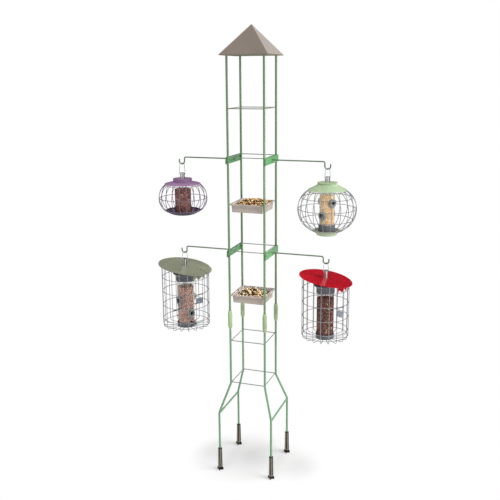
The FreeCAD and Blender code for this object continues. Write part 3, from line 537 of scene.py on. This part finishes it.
def kernel(name, dark, middle, light, roughness, patch=None):
    """Loose seed: every kernel has its own tone, mottled, with patches of another colour."""
    look = Look(name, roughness)
    own = look.ramp(look.add("NewGeometry").outputs["Random Per Island"], [
        (0.0, linear(dark)), (0.45, linear(middle)), (1.0, linear(light))])
    mottle = look.noise(420, 4)
    tone = look.ramp(mottle, [(0.3, (0.72, 0.72, 0.72)), (0.55, (1, 1, 1)), (0.75, (1, 1, 1))])
    body = look.mix(0.85, own, tone, "MULTIPLY")
    if patch:
        worn = look.ramp(look.noise(170, 3), [(0.58, (0, 0, 0)), (0.66, (1, 1, 1))])
        body = look.mix(worn, body, linear(patch))
    look.set("Base Color", body)
    look.set("Roughness", look.span(mottle, roughness - 0.1, roughness + 0.12))
    look.bump(look.noise(900, 3), 0.0004, 0.4)
    return look.material


def clear(name):
    """Clear tube wall: glass to the eye, open to the light that falls on the seed inside."""
    look = Look(name, 0.03)
    look.set("Base Color", (0.97, 0.98, 0.98, 1))
    look.set("Transmission Weight", 1.0)
    look.set("IOR", 1.45)
    look.set("Roughness", look.span(look.noise(35, 4), 0.015, 0.06))
    look.bump(look.noise(18, 2, (1, 1, 0.3)), 0.0003, 0.1)
    path = look.add("LightPath")
    through = look.calc("MAXIMUM", path.outputs["Is Shadow Ray"], path.outputs["Is Diffuse Ray"])
    open_air = look.join("BsdfTransparent", (0.96, 0.97, 0.97, 1))
    either = look.join("MixShader", through, look.shader.outputs[0], open_air.outputs[0])
    look.surface(either.outputs[0])
    return look.material


def make_looks():
    looks = {}
    for make, rows in ((paint, PAINTS), (plastic, PLASTICS), (metal, METALS), (kernel, KERNELS)):
        for name, row in rows.items():
            looks[name] = make(name, *row)
    looks["rail_paint"] = rail_paint("rail_paint")
    looks["tray"] = tray_paint("tray")
    looks["foot"] = foot_metal("foot", (152, 145, 130))
    looks["clear_tube"] = clear("clear_tube")
    for feeder, axis_x in FEEDERS.items():
        name = feeder + "_hanger"
        looks[name] = hanger(name, axis_x, LID_COLOURS[feeder])
    return looks


def dress_nodes(looks):
    """Gives every CAD node its material; the solid fills, which kernels replace, are crumb."""
    # legs and braces take the lighter copy of the frame green, painted light
    special = {"arm_brackets": "plate_paint", "frame_rings": "rail_paint",
               "leg_braces": "lit_leg_paint", "seed_globe_cage": "globe_wire"}
    for side in ("left", "right"):
        special["arm_upper_" + side] = special["arm_lower_" + side] = "arm_paint"
        special["leg_front_" + side] = special["leg_back_" + side] = "lit_leg_paint"
    for feeder in FEEDERS:
        special[feeder + "_hanger"] = feeder + "_hanger"
        special[feeder + "_ports"] = "port"
        special[feeder + "_perches"] = "perch"
    for name, node in NODES.items():
        look = looks.get(special.get(name, SLOTS[name]), looks["crumb"])
        for slot in node.material_slots:
            slot.material = look
        if not node.material_slots:
            node.data.materials.append(look)


# Meshes

class Gather:
    """Collects many closed shapes into one mesh with several looks."""

    def __init__(self):
        self.points, self.faces, self.looks, self.total = [], [], [], 0

    def add(self, points, faces, look):
        self.points.append(points)
        if all(len(face) == 4 for face in faces):
            self.faces.extend((np.array(faces) + self.total).tolist())
        else:
            self.faces.extend([[i + self.total for i in face] for face in faces])
        self.looks.extend([look] * len(faces))
        self.total += len(points)

    def piece(self, name, body, looks, replaces=()):
        mesh = bpy.data.meshes.new(name)
        mesh.from_pydata(np.concatenate(self.points).tolist(), [], self.faces)
        order = {look: index for index, look in enumerate(dict.fromkeys(self.looks))}
        for look in order:
            mesh.materials.append(looks[look])
        mesh.polygons.foreach_set("material_index", [order[look] for look in self.looks])
        mesh.polygons.foreach_set("use_smooth", [True] * len(self.faces))
        mesh.update()
        thing = bpy.data.objects.new(name, mesh)
        bpy.context.scene.collection.objects.link(thing)
        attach(thing, body)
        if replaces:
            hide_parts(*replaces)


def ball(divisions):
    """Unit ball of four-sided faces, from a divided cube."""
    index, points, faces = {}, [], []

    def corner(spot):
        key = tuple(round(c * divisions) for c in spot)
        if key not in index:
            index[key] = len(points)
            points.append(Vector(spot).normalized())
        return index[key]

    steps = [2 * i / divisions - 1 for i in range(divisions + 1)]
    for axis in range(3):
        for side in (-1, 1):
            def spot(u, v):
                place = [0, 0, 0]
                place[axis] = side
                place[(axis + 1) % 3] = u
                place[(axis + 2) % 3] = v
                return place
            for u0, u1 in zip(steps, steps[1:]):
                for v0, v1 in zip(steps, steps[1:]):
                    square = ((u0, v0), (u1, v0), (u1, v1), (u0, v1))
                    face = [corner(spot(u, v)) for u, v in square]
                    faces.append(face if side > 0 else face[::-1])
    return np.array(points), faces


def islands(node):
    """Points of each separate solid of a CAD node."""
    spots = [tuple(round(c, 6) for c in node.matrix_world @ v.co) for v in node.data.vertices]
    link = {spot: spot for spot in spots}

    def root(spot):
        while link[spot] != spot:
            link[spot] = link[link[spot]]
            spot = link[spot]
        return spot

    for edge in node.data.edges:
        one, other = (root(spots[i]) for i in edge.vertices)
        link[one] = other
    groups = {}
    for spot in link:
        groups.setdefault(root(spot), []).append(spot)
    return [np.array(group) for group in groups.values()]


def turns(count):
    return [k * math.tau / count for k in range(count)]


def circle(centre, radius, z, steps):
    return [(centre[0] + radius * math.cos(a), centre[1] + radius * math.sin(a), z)
            for a in turns(steps)]


def wrap(rings, sides, closed=False):
    """Faces over rings of points: along a tube with two end faces, or round a closed loop."""
    faces = []
    for ring in range(rings if closed else rings - 1):
        this, after = ring * sides, (ring + 1) % rings * sides
        for k in range(sides):
            other = (k + 1) % sides
            faces.append((this + k, this + other, after + other, after + k))
    if not closed:
        last = (rings - 1) * sides
        faces += [tuple(range(sides))[::-1], tuple(range(last, last + sides))]
    return faces


def sweep(path, radius, sides=6, closed=False):
    """Round wire along a line of points, as points and faces."""
    path = [Vector(p) for p in path]
    count = len(path)
    points = []
    side = None
    for i, spot in enumerate(path):
        before = path[i - 1] if closed or i else spot
        after = path[(i + 1) % count] if closed or i < count - 1 else spot
        ahead = (after - before).normalized()
        if side is None:
            side = ahead.orthogonal().normalized()
        side = (side - ahead * side.dot(ahead)).normalized()
        other = ahead.cross(side)
        points += [spot + (side * math.cos(a) + other * math.sin(a)) * radius
                   for a in turns(sides)]
    return np.array(points), wrap(count, sides, closed)


def turned(origin, axis, side, other, profile, sides):
    """Solid turned about an axis, from rows of reach along it and radius, as points and faces."""
    points = [origin + axis * reach + (side * math.cos(a) + other * math.sin(a)) * radius
              for reach, radius in profile for a in turns(sides)]
    return np.array(points), wrap(len(profile), sides)


def rounded_plate(width, height, thickness, corner):
    """Flat plate in X and Y with round corners, centred, as points and faces."""
    outline = []
    for across, up, start in ((1, 1, 0), (-1, 1, 90), (-1, -1, 180), (1, -1, 270)):
        for k in range(6):
            turn = math.radians(start + 18 * k)
            outline.append((across * (width / 2 - corner) + corner * math.cos(turn),
                            up * (height / 2 - corner) + corner * math.sin(turn)))
    points = [(x, y, z) for z in (-thickness / 2, thickness / 2) for x, y in outline]
    return np.array(points), wrap(2, len(outline))


# Seed and nuts

def kernel_shapes():
    """Points of each kind of kernel, long axis along X, and their faces; sizes here in mm."""
    fine, fine_faces = ball(4)
    small, small_faces = ball(2)
    x, y, z = fine.T
    crease = 0.10 * np.exp(-(y / 0.22) ** 2) * np.clip(z, 0, 1)
    taper = 1 - 0.14 * x - 0.05 * np.cos(6 * x)
    nut = np.stack([7.2 * x, 4.7 * y * taper, 4.5 * (z - crease) * taper], 1)
    hollow = 0.35 * np.exp(-((x / 0.55) ** 2 + (y / 0.45) ** 2))
    domed = np.where(z > 0, 4.0 * z, 0.9 * z + hollow)
    half = np.stack([7.0 * x, 4.6 * y * taper, domed * taper], 1)
    pellet = np.stack([9.0 * x, 3.1 * y, 3.0 * z + 1.6 * x * x], 1)
    pellet[:, 1:] *= (1 - 0.25 * x ** 8)[:, None]
    husk = np.stack([5.8 * x, 3.1 * y * (1 - 0.4 * x), 2.0 * z * (1 - 0.3 * x)], 1)
    x, y, z = small.T
    grain = np.stack([3.6 * x, 2.0 * y * (1 - 0.2 * x), 1.7 * z * (1 - 0.2 * x)], 1)
    bead = np.stack([2.3 * x, 2.1 * y, 1.9 * z], 1)
    shapes = {"nut": (nut, fine_faces), "half": (half, fine_faces),
              "pellet": (pellet, fine_faces), "husk": (husk, fine_faces),
              "grain": (grain, small_faces), "bead": (bead, small_faces)}
    return {name: (points * 0.001, faces) for name, (points, faces) in shapes.items()}


def turned_copy(points, size, turn, place):
    return points * size @ np.array(turn).T + np.array(place)


def pick(rng, mix):
    """One of the kinds in mix, by weight: rows of kind, look and weight."""
    roll = rng.random() * sum(row[2] for row in mix)
    for kind, look, weight in mix:
        roll -= weight
        if roll <= 0:
            return kind, look
    return mix[-1][0], mix[-1][1]


def rise(value, start, run):
    """From 0 at the start to 1 at the end of the run."""
    return min(1.0, max(0.0, (value - start) / run))


def tray_heap(level, shapes, looks, mix, seed, pitch, size, keep, crown, dome,
              slump_left, back_slump_and_shade):
    """Loose mixed seed in a tray: dark husks, and pale kernels over them with gaps between.

    The kernels lie a pitch apart, and a share of them, keep, is there. The heap stands a crown
    over the rim, falls by dome to the walls, and sags at the left and in the back right corner,
    where dark husks also take the kernels' place as painted shade.
    """
    rng = random.Random(seed)
    tray = NODES["seed_tray_" + level]
    tray_low, tray_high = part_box(tray.name)
    corners = [tray.matrix_world @ v.co for v in tray.data.vertices]
    foot = max(v.x for v in corners if v.z < tray_low.z + 0.0005)
    wall = TRAY_ROOM_HALF
    draft = (TRAY_TOP_HALF - foot) / (tray_high.z - tray_low.z)

    def reach(z):
        """Half the room between the walls at a height."""
        return wall - draft * max(0.0, tray_high.z - z)

    def back_in(x, y, half):
        """How far in X and Y a point has to move in from beyond the tray's round corner."""
        across, along = (max(0.0, abs(c) - half + TRAY_ROOM_CORNER) for c in (x, y))
        past = math.hypot(across, along) - TRAY_ROOM_CORNER if across and along else 0.0
        return max(0.0, past) * CORNER_BACK

    def within(x, y, half):
        back = back_in(x, y, half)
        return x - math.copysign(back, x), y - math.copysign(back, y)

    def back_right(x, y):
        return rise(x + y, 0.06, 0.05)

    def surface(x, y):
        roll = 0.0018 * math.sin(x * 95 + seed) * math.cos(y * 80 + 2 * seed)
        left = slump_left * rise(-x, 0.035, 0.035)
        fall = 1 - max(0.0, 1 - (x / wall) ** 2) * max(0.0, 1 - (y / wall) ** 2)
        return tray_high.z + crown - dome * fall + roll - left - back_slump_and_shade * back_right(x, y)

    heap = Gather()
    bed = []
    for i in range(BED_STEPS + 1):
        for j in range(BED_STEPS + 1):
            x, y = ((2 * k / BED_STEPS - 1) for k in (i, j))
            z = surface(x * wall, y * wall) - BED_DEPTH
            bed.append((*within(x * reach(z), y * reach(z), reach(z)), z))
    floor_z = tray_low.z + TRAY_FLOOR
    edge = reach(floor_z)
    bed += [(*within(x * edge, y * edge, edge), floor_z)
            for x, y in ((-1, -1), (-1, 1), (1, 1), (1, -1))]
    row = BED_STEPS + 1
    faces = [(i * row + j, (i + 1) * row + j, (i + 1) * row + j + 1, i * row + j + 1)
             for i in range(BED_STEPS) for j in range(BED_STEPS)]
    base = row * row
    rims = [[i for i in range(row)], [i * row + BED_STEPS for i in range(row)],
            [BED_STEPS * row + i for i in reversed(range(row))],
            [i * row for i in reversed(range(row))]]
    for side, rim in enumerate(rims):
        faces.append(tuple([base + side] + rim + [base + (side + 1) % 4]))
    faces.append((base, base + 1, base + 2, base + 3))
    heap.add(np.array(bed), faces, "shade")

    def scatter(spacing, kinds, sink, scale, share):
        count = int(2 * wall / spacing)
        for i in range(count):
            for j in range(count):
                x = (i + 0.5 * (j % 2) + rng.uniform(0.15, 0.85)) * spacing - wall
                y = (j + rng.uniform(0.15, 0.85)) * spacing - wall
                z = surface(x, y) - sink + rng.uniform(-0.001, 0.001)
                kind, look = pick(rng, kinds)
                # painted shade: towards the back right corner, dark husks take the place of
                # kernels
                if rng.random() * SHADE_HUSK_SLUMP < back_slump_and_shade * back_right(x, y):
                    kind, look = "husk", "husk"
                turn = Euler((rng.gauss(0, KERNEL_ROLL), rng.gauss(0, KERNEL_TIP),
                              rng.uniform(0, math.tau))).to_matrix()
                points, shape_faces = shapes[kind]
                own_size = scale * rng.uniform(*KERNEL_SIZES)
                grain = turned_copy(points, own_size, turn, (x, y, z))
                if rng.random() > share:
                    continue
                side = min(reach(p) for p in grain[:, 2]) - 0.0003
                over = np.abs(grain[:, :2]).max() - side
                if over > 0:
                    grain[:, :2] *= (side - over * 0.2) / (side + over)
                back = max(back_in(px, py, side) for px, py in grain[:, :2])
                grain[:, :2] -= np.sign(grain[:, :2].mean(axis=0)) * back
                heap.add(grain, shape_faces, look)

    scatter(HUSK_PITCH, [("husk", "husk", 1)], HUSK_SINK, 1.0, 1.0)
    scatter(pitch, mix, 0.0, size, keep)
    heap.piece("tray_mix_" + level, "tray_" + level, looks, ["tray_seed_" + level])


def tube_heap(feeder, name, node, shapes, looks, mix, pitch, seed, core, settled=0.0):
    """Seed packed in a round tube: two layers on a core, a loose top, and free port bores."""
    rng = random.Random(seed)
    low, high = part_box(node)
    high.z -= settled
    centre = Vector(((low.x + high.x) / 2, (low.y + high.y) / 2, 0))
    radius = (high.x - low.x) / 2
    mouths = port_mouths(feeder)
    heap = Gather()

    sides = 40
    points = [spot for z in (low.z, high.z - 0.4 * pitch)
              for spot in circle(centre, radius - 0.55 * pitch, z, sides)]
    heap.add(np.array(points), wrap(2, sides), core)

    def drop(reach, bearing, z, at_wall):
        kind, look = pick(rng, mix)
        points, faces = shapes[kind]
        turn = Euler((rng.gauss(0, KERNEL_ROLL),
                      rng.uniform(0, math.tau) if at_wall else rng.gauss(0, KERNEL_TIP),
                      rng.gauss(0, KERNEL_TIP)))
        heading = bearing + math.pi / 2 if at_wall else rng.uniform(0, math.tau)
        spin = Matrix.Rotation(heading, 3, "Z") @ turn.to_matrix()
        place = (reach * math.cos(bearing), reach * math.sin(bearing), z)
        shape = turned_copy(points, rng.uniform(*KERNEL_SIZES), spin, place)
        over = np.maximum(1.0, np.hypot(shape[:, 0], shape[:, 1]) / (radius - 0.0001))
        shape[:, :2] /= over[:, None]
        shape[:, 2] = np.clip(shape[:, 2], low.z + 0.0002, high.z + 0.35 * pitch)
        for out, mouth_z, _ in mouths:
            aside = math.hypot(place[0] * out.y - place[1] * out.x, place[2] - mouth_z)
            if aside < PORT_BORE + 0.002 and place[0] * out.x + place[1] * out.y > 0:
                return
        heap.add(shape + np.array(centre), faces, look)

    rows = int((high.z - low.z) / (pitch * 0.78))
    around = int(math.tau * radius / pitch)
    for layer in (0, 1):
        reach = radius - (0.26 + 0.3 * layer) * pitch
        for i in range(rows):
            for j in range(around):
                step = j + 0.5 * (i % 2) + rng.uniform(-0.3, 0.3) + 0.4 * layer
                z = low.z + (i + 0.5 + rng.uniform(-0.3, 0.3)) * (high.z - low.z) / rows
                drop(reach, step * math.tau / around, z, True)
    count = int(2 * radius / (pitch * 0.8))
    for i in range(count):
        for j in range(count):
            x, y = ((k + rng.uniform(0.2, 0.8)) / count * 2 - 1 for k in (i, j))
            if math.hypot(x, y) < 0.9:
                z = high.z - rng.uniform(0.0, 0.3) * pitch
                drop(radius * math.hypot(x, y), math.atan2(y, x), z, False)
    heap.piece(name, feeder + "_feeder", looks, [node])


# Small pieces of the feeders and the tower

def mesh_tube(feeder, looks):
    """Welded square mesh rolled into the peanut tube, with a plain band at each end."""
    node = feeder + "_tube"
    low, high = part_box(node)
    centre = ((low.x + high.x) / 2, (low.y + high.y) / 2)
    radius = (high.x - low.x) / 2
    wires = Gather()
    for x, y, _ in circle(centre, radius - MESH_WIRE, 0, MESH_UPRIGHTS):
        upright = [(x, y, z) for z in (low.z, (low.z + high.z) / 2, high.z)]
        wires.add(*sweep(upright, MESH_WIRE), "mesh_tube")
    rows = round((high.z - low.z) / MESH_PITCH)
    for k in range(1, rows):
        z = low.z + (high.z - low.z) * k / rows
        hoop = circle(centre, radius - 2.6 * MESH_WIRE, z, MESH_STEPS)
        wires.add(*sweep(hoop, MESH_WIRE, 5, True), "mesh_tube")
    inner = radius - MESH_BAND_WALL
    for z0, z1 in ((low.z, low.z + MESH_BAND), (high.z - MESH_BAND, high.z)):
        profile = [(inner, z0), (radius, z0), (radius, z1), (inner, z1)]
        points = [p for r, z in profile for p in circle(centre, r, z, MESH_STEPS)]
        wires.add(np.array(points), wrap(len(profile), MESH_STEPS, True), "mesh_tube")
    wires.piece(feeder + "_mesh", feeder + "_feeder", looks, [node])


def port_mouths(feeder):
    """Direction and height of each feeding port's bore, and how near the axis its inner end is."""
    mouths = []
    ports = NODES.get(feeder + "_ports")
    for points in islands(ports) if ports else ():
        away = points - np.array((FEEDERS[feeder], 0, 0))
        out = Vector((away[:, 0].mean(), away[:, 1].mean(), 0)).normalized()
        inner = (away @ np.array(out)).min()
        middle = (points[:, 2].min() + points[:, 2].max()) / 2
        mouths.append((out, middle + PORT_BORE_RISE, inner))
    return mouths


def paint_port_shade(feeder, looks):
    """Black disc at the inner end of each port: painted shade, so that the bore looks like a dark
    hole.
    """
    shade_discs = Gather()
    rim = PORT_BORE - 0.0001
    for out, z, inner in port_mouths(feeder):
        centre = Vector((FEEDERS[feeder], 0, z)) + out * (inner + 0.0006)
        side, up = Vector((-out.y, out.x, 0)), Vector((0, 0, 1))
        profile = ((0, rim), (0.001, rim), (0.0018, 0.006))
        shade_discs.add(*turned(centre, out, side, up, profile, 28), "throat")
    shade_discs.piece(feeder + "_bore_shade", feeder + "_feeder", looks)


def perch_bars(feeder, looks):
    """Ribbed plastic perch bars with round ends, over the thin rods they grip."""
    bars = Gather()
    for rod in islands(NODES[feeder + "_perches"]):
        middle = (rod.min(axis=0) + rod.max(axis=0)) / 2
        along = Vector(np.linalg.svd(rod - middle)[2][0]).normalized()
        half = np.ptp(rod @ np.array(along)) / 2
        side = along.orthogonal().normalized()
        end = [(half - 0.002, BAR_RADIUS), (half - 0.0006, 0.0024), (half, 0.0012)]
        profile = [(-reach, radius) for reach, radius in reversed(end)]
        ribbed = 2 * half - 2 * BAR_END
        ribs = int(ribbed / RIB_PITCH)
        for k in range(ribs):
            start = -half + BAR_END + k * ribbed / ribs
            profile += [(start, BAR_RADIUS), (start + 0.0005, BAR_GROOVE),
                        (start + 0.001, BAR_GROOVE), (start + 0.0015, BAR_RADIUS)]
        bar = turned(Vector(middle), along, side, along.cross(side), profile + end, 16)
        bars.add(*bar, "perch")
    bars.piece(feeder + "_bars", feeder + "_feeder", looks, [feeder + "_perches"])


def tag(feeder, looks, tilt):
    """Tag on a cage: a dark bar, and a metal plate that hangs from it on two thin wires."""
    node = feeder + "_tag"
    bar, plate = sorted(islands(NODES[node]), key=lambda points: -points[:, 2].mean())
    spread = plate[:, :2] - plate[:, :2].mean(axis=0)
    across = Vector((*np.linalg.svd(spread)[2][0], 0)).normalized()
    out = across.cross(Vector((0, 0, 1)))
    axes = np.array((across, (0, 0, 1), out))
    bar_size, plate_size = (np.ptp(points @ axes.T, axis=0) for points in (bar, plate))
    bar_centre, plate_centre = ((points.min(axis=0) + points.max(axis=0)) / 2
                                for points in (bar, plate))
    turn = np.array(Matrix.Rotation(tilt, 3, "Z"))
    sideways = np.array(across)

    def on_plate(points):
        return points @ turn.T @ axes + plate_centre

    hung = Gather()
    end = sideways * bar_size[0] / 2
    rod = sweep([bar_centre - end, bar_centre, bar_centre + end], bar_size[1] / 2, 12)
    hung.add(*rod, "perch")
    shape, faces = rounded_plate(plate_size[0] * 0.94, plate_size[1], plate_size[2], 0.003)
    hung.add(on_plate(shape), faces, "tag_metal")
    for side in (-1, 1):
        hole = on_plate(np.array([(side * plate_size[0] * 0.4, plate_size[1] * 0.42, 0)]))[0]
        top = bar_centre + sideways * side * bar_size[0] * 0.4
        bow = (hole + top) / 2 + sideways * side * 0.002
        hung.add(*sweep([top, bow, hole], 0.0006), "bright_wire")
    hung.piece(feeder + "_hung_tag", feeder + "_feeder", looks, [node])


def welds(looks):
    """Painted weld beads where rods meet posts, and round the arms at their brackets."""
    beads = Gather()
    points, faces = ball(4)
    inset = POST_AXIS - WELD_INSET
    for ring in islands(NODES["frame_rings"]):
        z = ring[:, 2].mean()
        if min(abs(z - tray_top(tray)) for tray in TRAYS) < 0.01:
            continue
        for x in (-1, 1):
            for y in (-1, 1):
                spot = np.array((x * inset, y * inset, z))
                beads.add(points * np.array(WELD_SIZE) + spot, faces, "frame_paint")
    for arm in ("upper_left", "upper_right", "lower_left", "lower_right"):
        side = -1 if arm.endswith("left") else 1
        rod = islands(NODES["arm_" + arm])[0]
        root = max(side * c.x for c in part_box("arm_brackets"))
        axis_z = rod[:, 2].max() - (rod[:, 1].max() - rod[:, 1].min()) / 2
        loop = [(side * (root + 0.0006), ARM_WELD_RING * math.cos(a),
                 axis_z + ARM_WELD_RING * math.sin(a)) for a in turns(24)]
        beads.add(*sweep(loop, ARM_WELD_RADIUS, 8, True), "frame_paint")
    beads.piece("tower_welds", "tower", looks)


# The scene

make_camera()
make_world()
make_lamps()
make_cards()
make_ground()
looks = make_looks()
dress_nodes(looks)
shapes = kernel_shapes()

tray_heap("upper", shapes, looks, [
    ("nut", "tan_seed", 5), ("half", "tan_seed", 4), ("half", "corn", 0.6),
    ("nut", "nut_pale", 2.5), ("husk", "husk", 1.6), ("nut", "nut_skin", 0.5),
], seed=3, pitch=0.0088, size=0.7, keep=0.84, crown=0.0125, dome=0.013,
    slump_left=0.010, back_slump_and_shade=0.002)
tray_heap("lower", shapes, looks, [
    ("pellet", "nut_pale", 5), ("half", "nut_pale", 3), ("pellet", "tan_seed", 1.2),
    ("half", "tan_seed", 0.6), ("husk", "husk", 1.6), ("nut", "nut_skin", 0.7),
], seed=8, pitch=0.0136, size=1.1, keep=0.74, crown=-0.003, dome=0.005,
    slump_left=0.007, back_slump_and_shade=0.012)
tube_heap("seed_globe", "seed_globe_fill", "seed_globe_seed", shapes, looks, [
    ("grain", "corn", 4), ("bead", "nut_pale", 4), ("grain", "nut_pale", 4),
], pitch=0.0052, seed=11, core="corn", settled=0.003)
tube_heap("seed_cage", "seed_cage_fill", "seed_cage_seed", shapes, looks, [
    ("grain", "pink_seed", 6), ("bead", "pink_seed", 3), ("grain", "nut_pale", 0.8),
], pitch=0.0056, seed=12, core="pink_seed")
for feeder in ("seed_globe", "seed_cage"):
    paint_port_shade(feeder, looks)
for feeder, seed, skin in (("nut_globe", 21, "nut_skin"), ("nut_cage", 22, "nut_dark")):
    tube_heap(feeder, feeder + "_nuts", feeder + "_peanuts", shapes, looks, [
        ("nut", skin, 7), ("half", skin, 1), ("half", "nut_pale", 0.5),
    ], pitch=0.0105, seed=seed, core="crumb")
    mesh_tube(feeder, looks)
perch_bars("seed_cage", looks)
tag("seed_cage", looks, math.radians(-4))
tag("nut_cage", looks, math.radians(-24))
welds(looks)
